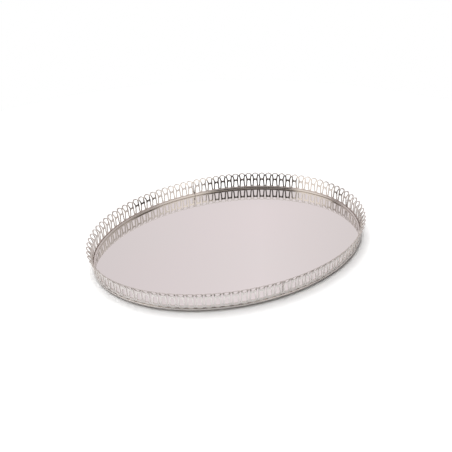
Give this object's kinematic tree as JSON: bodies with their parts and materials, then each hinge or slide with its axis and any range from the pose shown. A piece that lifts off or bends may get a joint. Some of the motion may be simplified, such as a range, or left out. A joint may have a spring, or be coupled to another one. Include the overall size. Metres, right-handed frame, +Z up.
{
  "type": "dresser vanity tray",
  "caption": "Oval mirrored vanity tray: silvered mirror plate in a rolled-edge pan, held by a smooth rail and fenced by a flared, pierced loop gallery.",
  "frame": {"origin": "middle of the oval, on the plane that the tray rests on", "axes": "+X along the long axis, +Y along the short axis towards the rear, +Z up out of the mirror"},
  "size_m": [0.3656, 0.2818, 0.0261],
  "materials": {
    "felt": "short-pile felt",
    "pan_silver": "silver plate, softly polished",
    "card": "plain grey board",
    "mirror": "silvered glass",
    "rail_silver": "silver plate, bright",
    "gallery_silver": "silver plate, bright"
  },
  "bodies": {
    "root": {"felt_pad": "felt", "base_pan": "pan_silver", "backing_card": "card", "mirror_plate": "mirror", "inner_rail": "rail_silver", "gallery_rear_right": "gallery_silver", "gallery_rear_left": "gallery_silver", "gallery_front_left": "gallery_silver", "gallery_front_right": "gallery_silver", "splice_plates": "gallery_silver"}
  },
  "joints": []
}
